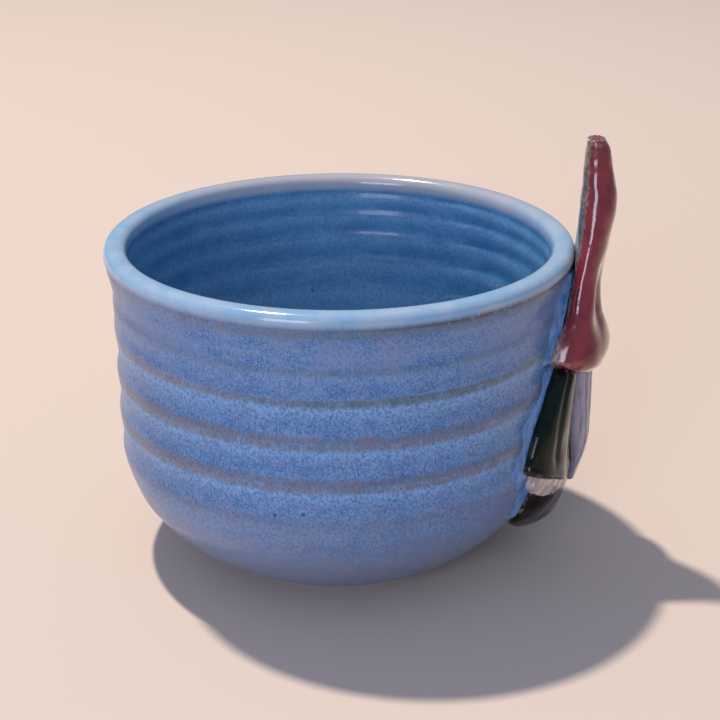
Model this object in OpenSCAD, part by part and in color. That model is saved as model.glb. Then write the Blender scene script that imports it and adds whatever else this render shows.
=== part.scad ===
// Wheel-thrown stoneware cup with a modelled gnome luted to one side.
// Frame: +Z up, origin at the middle of the foot ring on the table, the gnome faces +X.

/* [Cup] */
// Outside diameter of the rolled lip
rim_d = 114; // [100:1:130]
// Height of the lip above the table
cup_h = 81; // [76:1:90]
// Outside diameter of the wall where the belly ends
wall_d = 107.6; // [96:0.2:120]
// Thickness of the thrown wall
wall_t = 4.6; // [3.6:0.1:6]
// Height at which the belly turns into the upright wall
belly_h = 34; // [26:1:42]
// Diameter at which the belly leaves the foot ring
belly_d = 64; // [56:1:72]
// Thickness of the floor
floor_t = 5.4; // [4:0.1:8]

/* [Foot ring] */
// Outside diameter of the turned foot ring
foot_d = 61; // [54:1:68]
// Width of the ring that stands on the table
foot_w = 5; // [3:0.5:8]
// Height of the recess inside the ring
foot_h = 2.4; // [1.5:0.1:4]

/* [Throwing rings] */
// Height of the highest strong ridge outside
ridge_top = 60.6; // [54:0.1:64]
// Spacing of the ridges outside
ridge_pitch = 10.6; // [7:0.1:14]
// Depth of the finger grooves between the ridges outside
ridge_depth = 0.6; // [0.2:0.05:1]
// Spacing of the rings inside
inner_pitch = 7.2; // [5:0.1:10]
// Depth of the rings inside
inner_depth = 0.45; // [0.1:0.05:0.8]

/* [Gnome] */
// Height of the blunt tip of the hat
hat_top = 107; // [98:1:116]
// Lowest point of the hat's edge, at the front
hat_base = 50; // [46:1:54]
// How much higher the hat's edge sits at the sides
hat_lift = 6.5; // [0:0.5:8]
// Width of the hat at its brim
hat_w = 34.4; // [26:0.2:38]
// Lowest point of the coat
coat_base = 8; // [5:0.2:12]
// Width of the coat at its hem
coat_w = 45.6; // [38:0.2:50]
// Height of the sleeve hems at their middle
hem_h = 27.5; // [24:0.5:32]
// How far out from the gnome's middle line the sleeves reach at their hems
arm_reach = 26.9; // [24:0.1:30]
// How far the hands come out of the sleeves
hand_drop = 4.6; // [3:0.1:7]
// Lowest point of the beard
beard_base = 19.2; // [15:0.2:26]
// Width of the beard under the hat
beard_w = 16; // [10:0.5:20]
// Width of the slip smoothed onto the wall beside the gnome
slip_w = 5.5; // [4:0.5:9]

/* [Hidden] */
cup_blue = "#7088b8";
slip_blue = "#2f62b4";
coat_olive = "#3b321c";
beard_grey = "#8d8ba6";
sleeve_green = "#16281f";
hand_white = "#c9b7b0";
hat_red = "#7d2423";
lip_r = 2.8;                          // radius of the rolled lip's section
lip_z = cup_h - lip_r;                // height of the lip section's centre
lip_c = rim_d / 2 - lip_r;            // radius at which that centre runs
lip_start = lip_z - 8.4;              // where the wall starts to flare into the lip
foot_rise = 1.8;                      // height of the foot ring outside
wall_flare = 0.024;                   // outward lean of the upright wall, mm per mm
floor_z = foot_h + floor_t;           // height of the floor inside
inner_belly_h = 24;                   // height of the rounded corner inside, over the floor
weak_ridges = [67.2, 73];             // faint ridges between the top ridge and the lip
weak_depth = 0.16;                    // depth of the hollows between them
top_ridges = 5;                       // strong ridges outside
coat_bend = 20;                       // below this height the coat's end rounds in
coat_taper = 0.3;                     // above it each side narrows by this much per mm
coat_hem_t = 1.4;                     // thickness of the coat at its sides
sag_h = 28;                           // below this height the coat's front draws in
coat_r = 60;                          // radius of the coat's front above that
beard_t = 3.7;                        // thickness of the beard at its middle
beard_edge_t = 0.6;                   // and at its sides
tongue_h = 5;                         // height over which the coat's end is rounded
slab_r = 48.6;                        // the coat's back stays outside this radius
arm_root = 6.9;                       // the sleeves' inner edge at the shoulder
shoulder_w = 14.2;                    // the sleeves' outer edge under the hat
cuff_h = 30;                          // below this height the sleeves keep their width
arm_draw = 10.6;                      // how much the sleeves narrow above it
arm_run = 21.5;                       // over this height
arm_r = 58;                           // radius of the sleeves' inner edges under the hat
arm_edge_t = 1.3;                     // thickness of a sleeve at its outer edge
sleeve_t = 3.2;                       // how much a sleeve swells in its middle
hand_t = 2.2;                         // how much a hand swells in its middle
hem_mid = 17.6;                       // middle of a hem, round from the middle line
hem_half = 9.3;                       // half the width of a hem
hem_tilt = 24;                        // the hems climb outwards at this angle
hand_w = 8.4;                         // half the width of a hand at the hem
tip_half = 2.9;                       // half the width of the hat's tip
brim_h = 57;                          // height where the brim is widest
loose_h = 58;                         // above this height the hat leans away from the wall
hat_r = 63.3;                         // radius of the hat's front between its two swells
brim_swell = 4.0;                     // how much the front swells at the brim
tip_swell = 3.6;                      // and near the tip
tip_swell_h = 91;                     // height of that second swell
coat_join = 20;                       // the slip follows the coat up to here,
cuff_join = 31;                       // the sleeve from here,
brim_join = 54;                       // and the hat from here
slip_top = 76.4;                      // the slip runs up to just under the lip
slip_base = 14.5;                     // and down to where the coat leaves the wall

// ---- profile of the cup ----
function ramp(x) = let (t = min(1, max(0, x))) t * t * (3 - 2 * t);
function belly(t, p, q) = pow(max(0, 1 - pow(max(0, 1 - t), p)), 1 / q);
// Outer radius over the crests of the ridges at height z.
function wall_r(z) =
    (belly_d + (wall_d - belly_d - 0.6) * belly((z - foot_rise) / (belly_h - foot_rise), 2.5, 1.13)) / 2
    + wall_flare * z
    + (lip_c + lip_r - wall_d / 2 - wall_flare * lip_z) * ramp((z - lip_start) / (lip_z - lip_start));
// Groove under each ridge: it deepens slowly downwards and climbs out quickly.
function groove(t) = t < 0.67 ? pow(sin(90 * t / 0.67), 2) : pow(cos(90 * (t - 0.67) / 0.33), 2);
function ring_t(z) = (ridge_top - z) / ridge_pitch;
function strong_groove(z) =
    ring_t(z) < 0 || ring_t(z) > top_ridges ? 0 :
    ridge_depth * groove(ring_t(z) - floor(ring_t(z))) * (1 - 0.7 * ramp((30 - z) / 18));
function weak_groove(z) =
    z <= ridge_top ? 0 :
    weak_depth * ramp((lip_start - z) / 3) * (1 - max([for (c = weak_ridges) exp(-pow((z - c) / 1.5, 2))]))
    * ramp((z - ridge_top) / 3);
function outside_r(z) = wall_r(z) - strong_groove(z) - weak_groove(z);
function inside_r(z) =
    (wall_d / 2 - wall_t + wall_flare * z)
    * belly((z - floor_z) / inner_belly_h, 2.4, 2.2)
    + inner_depth * (0.5 - 0.5 * cos(360 * (lip_start - z) / inner_pitch))
      * ramp((z - floor_z - 14) / 8) * ramp((lip_start + 1 - z) / 4);

outer_zs = concat([for (z = [foot_rise : 0.55 : 12]) z], [for (z = [12.6 : 0.88 : lip_z - 0.4]) z]);
inner_zs = concat([for (z = [lip_z - 2.5 : -0.9 : floor_z + 9]) z],
                  [for (t = [1 : -0.1 : 0.05]) floor_z + 9 * t * t]);
function cup_profile() = concat(
    [[foot_d / 2 - foot_w, 0.5], [foot_d / 2 - foot_w + 0.6, 0], [foot_d / 2 - 0.7, 0],
     [foot_d / 2, 0.7], [foot_d / 2, foot_rise - 0.1]],
    [for (z = outer_zs) [outside_r(z), z]],
    [for (a = [0 : 15 : 180]) [lip_c + lip_r * cos(a), lip_z + lip_r * sin(a)]],
    [for (z = inner_zs) [min(inside_r(z), lip_c - lip_r), z]],
    [[0, floor_z], [0, foot_h], [foot_d / 2 - foot_w - 0.8, foot_h]]);

// ---- relief of the gnome on the wall ----
// A relief piece is a patch over the wall: s is the distance round from the gnome's
// middle line, z the height; it fills the room between an inner and an outer radius.
function point(s, z, r) = let (a = s / max(wall_r(min(z, 60)), slab_r) * 180 / PI)
    [r * cos(a), r * sin(a), z];
function round_to_edge(u, p, q) = pow(max(0, 1 - pow(abs(u), p)), 1 / q);
function mix(a, b, t) = a + (b - a) * t;

// cols and rows of cells; place(u, v) gives [s, z]; u runs -1..1 across, v 0..1 upwards.
module relief(cols, rows, place, inner, outer) {
    n = cols + 1;
    us = [for (i = [0 : cols]) -cos(180 * i / cols)];
    at = [for (j = [0 : rows]) [for (u = us) place(u, j / rows)]];
    skin = [for (row = at) concat(
        [for (p = row) point(p[0], p[1], outer(p[0], p[1]))],
        [for (i = [cols : -1 : 0]) let (p = row[i]) point(p[0], p[1], inner(p[0], p[1]))])];
    ring = 2 * n;
    function id(j, i) = j * ring + i % ring;
    sides = [for (j = [0 : rows - 1], i = [0 : ring - 1])
        each [[id(j, i), id(j + 1, i), id(j + 1, i + 1)], [id(j, i), id(j + 1, i + 1), id(j, i + 1)]]];
    caps = [for (i = [0 : cols - 1]) each [
        [i, i + 1, ring - 2 - i], [i, ring - 2 - i, ring - 1 - i],
        [id(rows, ring - 2 - i), id(rows, i + 1), id(rows, i)],
        [id(rows, ring - 1 - i), id(rows, ring - 2 - i), id(rows, i)]]];
    polyhedron([for (row = skin) each row], concat(sides, caps));
}

// Height of the hat's lower edge at distance s from the middle.
function brim_z(s) = hat_base + hat_lift * pow(min(1, abs(s) / (hat_w / 2)), 2);

// Coat: a slab with a tongue-shaped end, its lower end standing off the belly.
function coat_half(z) = z > coat_bend ? coat_w / 2 - coat_taper * (z - coat_bend) :
    coat_w / 2 * sqrt(max(0.02, 1 - pow((coat_bend - z) / (coat_bend - coat_base), 1.5)));
function coat_front(z) = coat_r - 0.0222 * pow(max(0, sag_h - z), 1.8);
function coat_in(z) = max(wall_r(z), slab_r);
function tongue(z) = sqrt(max(0.04, 1 - pow(max(0, coat_base + tongue_h - z) / tongue_h, 2)));
function coat_out(s, z) = let (u = min(1, abs(s) / coat_half(z)), edge = coat_in(z) + coat_hem_t)
    mix(coat_in(z), mix(edge, coat_front(z), round_to_edge(u, 2, 1.15)), tongue(z));
function under_arm(s, z) = abs(s) < coat_half(z) ? coat_out(s, z) : wall_r(z);

// Sleeve: bell-shaped from the shoulder to a hem that climbs outwards, over the coat's flank.
function arm_edge(z) = arm_reach - arm_draw * pow(max(0, z - cuff_h) / arm_run, 1.9);
function arm_inner(z) = arm_root + 0.07 * (hat_base - z);
function arm_mid(z) = (arm_edge(z) + arm_inner(z)) / 2;
function arm_half(z) = (arm_edge(z) - arm_inner(z)) / 2;
function arm_out(s, z, rise) =
    let (u = (abs(s) - arm_mid(z)) / arm_half(z), root = arm_r + 0.03 * (z - hat_base),
         base = mix(root, wall_r(z) + arm_edge_t, (u + 1) / 2))
    max(under_arm(s, z) + 0.35, base + rise * round_to_edge(min(1, abs(u)), 2.4, 2));
module sleeve(side) {
    relief(18, 26,
        function (u, v) let (
            w = side * u,
            hem = hem_h + hem_half * w * tan(hem_tilt),
            z = mix(hem, brim_z(mix(arm_root, shoulder_w, (w + 1) / 2)), v))
            [side * (arm_mid(z) + w * arm_half(z)), z],
        function (s, z) under_arm(s, z),
        function (s, z) arm_out(s, z, sleeve_t));
}

// Hand: a half disc that hangs square to the hem, grooved into fingers.
function hand_half(d) = hand_w * sqrt(max(0.04, 1 - pow(d / hand_drop, 2.2)));
function across_hem(s, z) = (s - hem_mid) * cos(hem_tilt) + (z - hem_h) * sin(hem_tilt);
function below_hem(s, z) = (s - hem_mid) * sin(hem_tilt) - (z - hem_h) * cos(hem_tilt);
function finger(w) = 0.4 * (0.5 - 0.5 * cos(360 * 2 * (w / hand_w + 1)));
module hand(side) {
    relief(24, 10,
        function (u, v) let (d = hand_drop * (1 - v), w = side * u * hand_half(d))
            [side * (hem_mid + w * cos(hem_tilt) + d * sin(hem_tilt)),
             hem_h + w * sin(hem_tilt) - d * cos(hem_tilt)],
        function (s, z) under_arm(s, z),
        function (s, z)
            let (w = across_hem(abs(s), z), d = max(0, below_hem(abs(s), z)))
            max(under_arm(s, z) + 0.3,
                arm_out(abs(s), z, hand_t) - finger(w) - 1.2 * pow(d / hand_drop, 3)));
}

// Hat: a flattened cone with a thick brim and a blunt tip, its back against the lip.
function hat_half(z) =
    tip_half + (hat_w / 2 - tip_half) * pow(max(0, hat_top - z) / (hat_top - brim_h), 1.55);
function hat_side(z) = z > brim_h ? hat_half(z) : hat_w / 2 - 0.8 * pow((brim_h - z) / 7, 2);
function hat_in(z) = z < loose_h ? wall_r(z) :
    min(wall_r(loose_h) + 0.2 * (z - loose_h), rim_d / 2 + 0.6 + 0.06 * (z - slip_top));
function hat_front(z) = hat_r + brim_swell * exp(-pow((z - brim_h) / 7, 2))
    + tip_swell * exp(-pow((z - tip_swell_h) / 14, 2));
function hat_belly(s, z) =
    let (u = min(1, abs(s) / hat_side(z)), low = ramp((z - brim_z(s) + 0.6) / 3),
         edge = hat_in(z) + mix(2.6, 0.45, ramp((z - 60) / 20)),
         front = hat_front(z) - 2.2 * (1 - low) - 1.0 * ramp((z - hat_top + 3) / 3))
    mix(edge, front, round_to_edge(u, 2.4, 2));
function hat_back(s, z) = let (u = min(1, abs(s) / hat_side(z)), loose = ramp((z - 76) / 12))
    hat_in(z) + loose * 0.34 * (hat_front(z) - hat_in(z)) * (1 - round_to_edge(u, 3, 2));
module hat() {
    color(hat_red) relief(22, 52,
        function (u, v) let (s0 = u * hat_w / 2, z = mix(brim_z(s0), hat_top, v)) [u * hat_side(z), z],
        function (s, z) hat_back(s, z),
        function (s, z) max(hat_back(s, z) + 0.4, hat_belly(s, z)));
}

// Beard: a thick strip down the coat's front with a blunt end.
function beard_half(z) = beard_w / 2 * mix(0.5, 1, ramp((z - beard_base) / 18))
    * sqrt(max(0.3, 1 - pow(max(0, beard_base + 3 - z) / 3, 2)));
module beard() {
    color(beard_grey) relief(16, 30,
        function (u, v) let (z = mix(beard_base, brim_z(u * beard_w / 2), v)) [u * beard_half(z), z],
        function (s, z) coat_out(s, z),
        function (s, z) coat_out(s, z) + beard_edge_t
            + (beard_t - beard_edge_t) * round_to_edge(min(1, abs(s) / beard_half(z)), 2, 2)
            * (0.35 + 0.65 * ramp((z - beard_base) / 14)));
}

// Slip: smoothed from the gnome's edge onto the wall, and filled in behind the hat.
function slip_edge(z) =
    z < cuff_join ? mix(coat_half(z), arm_reach, ramp((z - coat_join) / (cuff_join - coat_join))) :
    z < brim_join ? arm_edge(z) :
    mix(arm_edge(brim_join), hat_side(z), ramp((z - brim_join) / 3));
module slip_strip(side) {
    relief(8, 40,
        function (u, v) let (z = mix(slip_base, slip_top, v), w = (side * u + 1) / 2)
            [side * (slip_edge(z) + 0.15 + w * slip_w * (1 - 0.4 * ramp((z - 66) / 10))), z],
        function (s, z) wall_r(z),
        function (s, z) let (w = min(1, max(0, (abs(s) - slip_edge(z)) / slip_w)))
            wall_r(z) + 0.25 + 2.1 * pow(1 - w, 1.7));
}
module slip_behind_hat() {
    relief(10, 12,
        function (u, v) let (z = mix(60, slip_top, v)) [u * hat_side(z), z],
        function (s, z) wall_r(z),
        function (s, z) hat_in(z));
}

module cup_body() {
    color(cup_blue) rotate_extrude($fn = 180) polygon(cup_profile());
}
module luting_slip() {
    color(slip_blue) {
        slip_strip(1);
        slip_strip(-1);
        slip_behind_hat();
    }
}
module coat() {
    color(coat_olive) relief(22, 34,
        function (u, v) let (
            z = mix(coat_base, brim_z(u * coat_half(hat_base)), v)) [u * coat_half(z), z],
        function (s, z) coat_in(z),
        function (s, z) max(coat_out(s, z), coat_in(z) + 0.3));
}
module left_sleeve() { color(sleeve_green) sleeve(1); }
module right_sleeve() { color(sleeve_green) sleeve(-1); }
module left_hand() { color(hand_white) hand(1); }
module right_hand() { color(hand_white) hand(-1); }

cup_body();
luting_slip();
coat();
beard();
left_sleeve();
right_sleeve();
left_hand();
right_hand();
hat();
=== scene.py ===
"""A thrown stoneware cup with a gnome luted to its side: clay, glazes, light and camera.

Shapes are worked out in millimetres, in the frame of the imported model: +Z up, the gnome faces +X.
"""
import math

import bmesh
import bpy
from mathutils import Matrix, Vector, noise


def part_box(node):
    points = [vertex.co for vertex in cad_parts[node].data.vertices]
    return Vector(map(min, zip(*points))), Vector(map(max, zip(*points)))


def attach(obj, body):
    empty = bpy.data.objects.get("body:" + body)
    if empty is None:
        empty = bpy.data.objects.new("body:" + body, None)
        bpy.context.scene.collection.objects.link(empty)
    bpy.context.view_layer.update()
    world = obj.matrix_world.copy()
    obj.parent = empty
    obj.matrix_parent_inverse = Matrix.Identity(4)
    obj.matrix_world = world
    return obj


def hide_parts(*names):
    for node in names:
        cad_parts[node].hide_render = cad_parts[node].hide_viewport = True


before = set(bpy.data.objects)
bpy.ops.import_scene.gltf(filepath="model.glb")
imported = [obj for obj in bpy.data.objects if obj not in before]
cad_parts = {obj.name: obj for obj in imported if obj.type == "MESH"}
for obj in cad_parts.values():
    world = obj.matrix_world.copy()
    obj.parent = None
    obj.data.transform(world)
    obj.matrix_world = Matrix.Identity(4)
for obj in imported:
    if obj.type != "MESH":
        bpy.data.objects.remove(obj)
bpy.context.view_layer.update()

MM = 0.001


def corners(node):
    """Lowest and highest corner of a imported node, in millimetres."""
    low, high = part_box(node)
    return Vector(low) / MM, Vector(high) / MM


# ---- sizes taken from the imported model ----
LIP_REACH, _, TALL = corners("cup_body")[1]     # outside radius of the rolled lip, its height
HAT_BASE, HAT_TOP = (corner.z for corner in corners("hat"))
COAT_BASE = corners("coat")[0].z
SLEEVE_BASE = corners("right_sleeve")[0].z
BEARD_BASE = corners("beard")[0].z
SLIP_LOW, SLIP_HIGH = (corner.z for corner in corners("luting_slip"))

# ---- the thrown wall ----
ROLL = 2.8                      # half the thickness of the lip
ROLL_Z = TALL - ROLL
ROLL_R = LIP_REACH - ROLL
ROLL_SQUARE = 0.8               # 1 is a round lip, less is flatter on top
WALL = 53.8                     # outside radius where the belly ends
FLARE = 0.024                   # outward lean of the upright wall
FLARE_START = ROLL_Z - 8.4      # the wall opens into the lip from here
LEAN = 0.9                      # how far the lip has sagged towards the gnome
LEAN_START = 30.0               # the wall is upright below this height
LEAN_CURVE = 1.5                # 1 leans it straight, more bends it
BELLY_R = 32.0                  # radius where the belly leaves the foot
BELLY_Z = 34.0                  # height where the belly ends
BELLY_TRIM = 0.3                # kept back from the belly's growth
FOOT_R = 30.5                   # outside radius of the foot ring
FOOT_W = 5.0
FOOT_RECESS = 2.4
FOOT_RISE = 1.8
FLOOR_Z = 7.8
CORNER_H = 24.0                 # height of the rounded corner inside
THICK = 4.6
RIDGE_TOP, RIDGE_PITCH, RIDGE_DEPTH = 60.6, 10.6, 0.66
FAINT_TOP, FAINT_PITCH, FAINT_DEPTH = 73.0, 5.9, 0.22
INNER_PITCH, INNER_GROWTH, INNER_DEPTH = 4.4, 0.14, 0.5

# ---- the gnome ----
SLAB_R = 48.6                   # the coat's back stays outside this radius
SPREAD_Z = 60.0                 # above this height distances round are those on the wall here
HAT_HALF = 17.2                 # half the width of the brim
HAT_LIFT = 6.5                  # the brim's edge rises this much at its sides
TIP_HALF = 2.9                  # half the width of the hat's tip
BRIM_Z, BRIM_RUN = 57.0, 7.0    # height where the brim is widest, and its height on each side
LOOSE_Z = 58.0                  # above this height the hat leans away from the wall
BACK_R, BACK_Z = 57.6, 76.0     # the loose back of the hat passes through this place
ROUND_Z, ROUND_RUN = 60.0, 8.0  # the back starts to round off here, over this height
HAT_R = 63.3                    # radius of the hat's front between its two swells
BRIM_SWELL = 4.0                # how much the front swells at the brim
TIP_SWELL = 3.6                 # and near the tip
TIP_SWELL_Z, TIP_RUN = 91.0, 14.0
COAT_HALF = 22.8
COAT_BEND = 20.0                # below this height the coat's end rounds in
COAT_TAPER = 0.3                # above it each side narrows by this much per millimetre
COAT_HEM_T = 1.4                # thickness of the coat at its sides
COAT_R = 60.0                   # radius of the coat's front
SAG_Z = 28.0                    # below this height the coat's front draws in
SAG = 0.0222
TONGUE_H = 5.0                  # height over which the coat's end is rounded
ARM_REACH = 26.9                # the sleeves' outer edge at the hem
ARM_ROOT = 6.9                  # their inner edge at the shoulder
SHOULDER = 14.2                 # their outer edge under the hat
CUFF_Z = 30.0                   # below this height the sleeves keep their width
ARM_DRAW, ARM_RUN = 10.6, 21.5  # how much the sleeves narrow above it, and over what height
ARM_R, ARM_R_Z = 58.0, 48.0     # radius of their inner edges at this height
ARM_EDGE_T = 1.5                # thickness of a sleeve at its outer edge
SLEEVE_T = 3.2                  # how much a sleeve swells in its middle
HAND_T = 2.2                    # how much a hand swells in its middle
HEM_MID, HEM_HALF, HEM_TILT = 17.6, 9.3, math.radians(24)
HEM = SLEEVE_BASE + HEM_HALF * math.tan(HEM_TILT)
HAND_W, HAND_DROP = 8.4, 4.6
BEARD_HALF = 8.0
BEARD_EDGE_T, BEARD_SWELL = 0.6, 3.1
COAT_JOIN = 20.0                # the slip follows the coat up to here,
CUFF_JOIN = 31.0                # the sleeve from here,
BRIM_JOIN = 54.0                # and the hat from here
SLIP_W = 5.0
BURIED = 0.8                    # how far a piece is pressed into what it sits on


def ramp(x):
    """0 up to x = 0, 1 from x = 1, and a soft step between them."""
    t = min(1.0, max(0.0, x))
    return t * t * (3 - 2 * t)


def mix(a, b, t):
    return a + (b - a) * t


def belly(t, p, q):
    """0 at t = 0, rising in a round curve to 1 at t = 1."""
    return max(0.0, 1 - max(0.0, 1 - t) ** p) ** (1 / q)


def dome(u, p, q):
    """1 in the middle of a piece, 0 at its edges u = -1 and u = 1."""
    return max(0.0, 1 - min(1.0, abs(u)) ** p) ** (1 / q)


def wall_r(z):
    """Outside radius of the wall at height z, over the crests of the throwing rings."""
    up = (z - FOOT_RISE) / (BELLY_Z - FOOT_RISE)
    bulge = BELLY_R + (WALL - BELLY_R - BELLY_TRIM) * belly(up, 2.5, 1.13)
    opening = LIP_REACH - WALL - FLARE * ROLL_Z
    return bulge + FLARE * z + opening * ramp((z - FLARE_START) / (ROLL_Z - FLARE_START))


def near_r(z):
    """Radius of the wall where the gnome sits, on the side that the lip sags to."""
    return wall_r(z) + LEAN * (max(0.0, z - LEAN_START) / (TALL - LEAN_START)) ** LEAN_CURVE


def inside_r(z):
    return (WALL - THICK + FLARE * z) * belly((z - FLOOR_Z) / CORNER_H, 2.4, 2.2)


# ---- nodes and colours ----
def srgb(code):
    """A hex colour as linear RGBA."""
    parts = [int(code[i:i + 2], 16) / 255 for i in (1, 3, 5)]
    linear = [c / 12.92 if c <= 0.04045 else ((c + 0.055) / 1.055) ** 2.4 for c in parts]
    return (*linear, 1.0)


def add(tree, kind, inputs=None, out=0, **settings):
    """Adds a node with its settings and inputs, values or links, and returns one of its outputs."""
    made = tree.nodes.new(kind)
    for key, value in settings.items():
        setattr(made, key, value)
    for key, value in (inputs or {}).items():
        if isinstance(value, bpy.types.NodeSocket):
            tree.links.new(value, made.inputs[key])
        else:
            made.inputs[key].default_value = value
    return made.outputs[out]


def new_material(name):
    """A material with a Principled shader; returns it, its tree and the shader."""
    material = bpy.data.materials.new(name)
    material.use_nodes = True
    tree = material.node_tree
    return material, tree, tree.nodes["Principled BSDF"]


def grain(tree, size, detail=3.0, stretch=(1, 1, 1), w=0.0):
    """Noise whose features are size millimetres across, squeezed along the piece's axes; w picks
    one of many patterns."""
    place = add(tree, "ShaderNodeTexCoord", out=3)
    shaped = add(tree, "ShaderNodeMapping", {"Vector": place, "Scale": stretch})
    return add(tree, "ShaderNodeTexNoise", {"Vector": shaped, "W": w, "Scale": 1 / (size * MM),
               "Detail": detail, "Roughness": 0.6}, noise_dimensions="4D")


def patches(tree, size, low, high, to_low=0.0, to_high=1.0, **look):
    """Soft-edged patches: to_low where the grain is under low, to_high where it is over high."""
    return add(tree, "ShaderNodeMapRange", {"Value": grain(tree, size, **look), "From Min": low,
               "From Max": high, "To Min": to_low, "To Max": to_high},
               interpolation_type="SMOOTHSTEP")


def along(tree, axis, start, end, at_end=1.0):
    """0 before start and at_end past end, two places in millimetres on an axis of the piece."""
    place = add(tree, "ShaderNodeTexCoord", out=3)
    place = add(tree, "ShaderNodeSeparateXYZ", {"Vector": place}, axis)
    return add(tree, "ShaderNodeMapRange", {"Value": place, "From Min": start * MM,
               "From Max": end * MM, "To Max": at_end}, interpolation_type="SMOOTHSTEP")


def specks(tree, spacing, size, share):
    """Iron specks: 1 inside round spots of size millimetres, in a share of cells spacing apart."""
    place = add(tree, "ShaderNodeTexCoord", out=3)
    cell = add(tree, "ShaderNodeTexVoronoi", {"Vector": place, "Scale": 1 / (spacing * MM)})
    picked = add(tree, "ShaderNodeSeparateColor", {"Color": cell.node.outputs["Color"]})
    radius = add(tree, "ShaderNodeMapRange", {"Value": picked, "From Min": 1 - share,
                 "From Max": 1.0, "To Min": 0.0, "To Max": 0.5 * size / spacing})
    edge = add(tree, "ShaderNodeMath", {0: radius, 1: 0.4}, operation="MULTIPLY")
    return add(tree, "ShaderNodeMapRange", {"Value": cell, "From Min": radius, "From Max": edge})


def lay(tree, colour, *layers):
    """Lays layers over a colour, one after another. Each is a colour and then the shares whose
    product says how much of it shows. A colour is a hex string or a socket."""
    for above, share, *others in layers:
        for other in others:
            share = add(tree, "ShaderNodeMath", {0: share, 1: other}, operation="MULTIPLY",
                        use_clamp=True)
        below, above = (srgb(end) if isinstance(end, str) else end for end in (colour, above))
        colour = add(tree, "ShaderNodeMix", {0: share, 6: below, 7: above}, 2, data_type="RGBA")
    return colour


def glaze_surface(tree, shader, colour, roughness, peel, coat, coat_roughness=0.06, glass=1.5):
    """Colour, roughness, orange-peel bump and a clear glassy coat on one shader.
    peel is the size and the depth of the bumps in millimetres, glass the glaze's index."""
    size, depth = peel
    bump = add(tree, "ShaderNodeBump", {"Height": grain(tree, size, detail=2.0, w=7.0),
               "Strength": 0.5, "Distance": depth * MM})
    tree.links.new(colour, shader.inputs["Base Color"])
    tree.links.new(roughness, shader.inputs["Roughness"])
    tree.links.new(bump, shader.inputs["Normal"])
    for name, value in (("IOR", glass), ("Specular IOR Level", 0.5 - 0.4 * coat),
                        ("Coat Weight", coat), ("Coat Roughness", coat_roughness),
                        ("Coat IOR", glass)):
        shader.inputs[name].default_value = value


# ---- glazes ----
def rutile_blue_glaze():
    """Stoneware dipped in a rutile blue glaze: cornflower peppered with darker blue, brightest in
    the hollow under each ridge, partly pooled glaze and partly painted light, breaking to
    mauve-brown where it runs thin over the ridges and the foot, with painted shade in the bands
    under the ridges, pooled pale and glossy on the lip, greyer at the lip's back as painted light,
    deeper inside with painted highlights on the rings and painted light towards the floor, with a
    few iron spots."""
    material, tree, shader = new_material("rutile_blue_glaze")
    lip, inside, crest, pool_and_highlight, scorch, bare = (
        add(tree, "ShaderNodeAttribute", out=2, attribute_name=name)
        for name in ("lip", "inside", "crest", "pool_and_highlight", "scorch", "bare"))
    off_pool_and_highlight = add(tree, "ShaderNodeMath", {0: 1.0, 1: pool_and_highlight}, operation="SUBTRACT")

    cloud = patches(tree, 8.0, 0.35, 0.65, stretch=(1, 1, 1.5))
    veil = patches(tree, 5.0, 0.4, 0.7, stretch=(1, 1, 2.2), w=2.0)
    pepper = patches(tree, 0.62, 0.42, 0.62, detail=2.0, stretch=(1, 1, 0.7), w=1.0)
    dust = patches(tree, 0.4, 0.45, 0.7, detail=1.0, w=6.0)
    streak = patches(tree, 2.2, 0.35, 0.65, 0.7, 1.0, stretch=(1, 1, 0.2), w=2.0)
    ragged = patches(tree, 2.6, 0.3, 0.6, 0.6, 1.0, w=3.0)
    tint = patches(tree, 6.0, 0.4, 0.6, w=9.0)
    burnt = patches(tree, 1.3, 0.33, 0.47, w=4.0)

    # thin over the ridges: mauve, browner on the side away from the gnome, green on the top ridge;
    # the dark bands are partly painted shade under each ridge, and the side away from the gnome is
    # lighter partly as painted light
    thin = lay(tree, "#5a6f8c", ("#706f86", tint), ("#7f7a84", along(tree, "X", 5, -45)),
               ("#43605f", along(tree, "Z", 56, 59), along(tree, "X", -30, 10), 0.75),
               ("#3f4c6e", pepper, 0.35))
    # inside the cup: paler towards its floor, which is painted light, and painted highlights on the
    # upper faces of the rings
    deep = lay(tree, "#457fae", ("#5690bd", cloud), ("#8ab8d8", along(tree, "Z", 62, 30, 0.75)),
               ("#86b4d8", pool_and_highlight, 0.4), ("#8fb4d0", crest, 0.2), ("#234a80", pepper, 0.3))
    # on the lip, greyer at its back, which is partly painted light and reflection
    pale = lay(tree, "#86b2d8", ("#a2bcd6", cloud), ("#b5acad", along(tree, "Y", 0, 55, 0.75)))
    # the lighter blue in the hollow under each ridge is partly pooled glaze and partly painted
    # light where the hollow faces up
    colour = lay(tree, "#3877b6", ("#4f88c4", cloud), ("#7fb2ea", pool_and_highlight, 0.7),
                 ("#788fbd", off_pool_and_highlight, veil, 0.5), ("#2b5292", pepper, 0.62),
                 ("#b4cdf0", dust, 0.3), ("#7585ac", along(tree, "Z", 58, 70), cloud, 0.6),
                 ("#84879a", along(tree, "Z", 38, 12), streak, 0.8),
                 (thin, crest, ragged, 0.85), (deep, inside), (pale, lip),
                 ("#43362f", scorch, burnt, 0.95), ("#232a48", specks(tree, 6.5, 1.3, 0.6), 0.85),
                 ("#b39a85", bare))

    sheen = add(tree, "ShaderNodeMapRange", {"Value": cloud, "To Min": 0.34, "To Max": 0.46},
                interpolation_type="SMOOTHSTEP")
    sheen = add(tree, "ShaderNodeMix", {0: lip, 2: sheen, 3: 0.16}, 0, data_type="FLOAT")
    sheen = add(tree, "ShaderNodeMix", {0: bare, 2: sheen, 3: 0.85}, 0, data_type="FLOAT")
    glaze_surface(tree, shader, colour, sheen, (0.9, 0.05), coat=0.3, coat_roughness=0.1)
    return material


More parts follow.
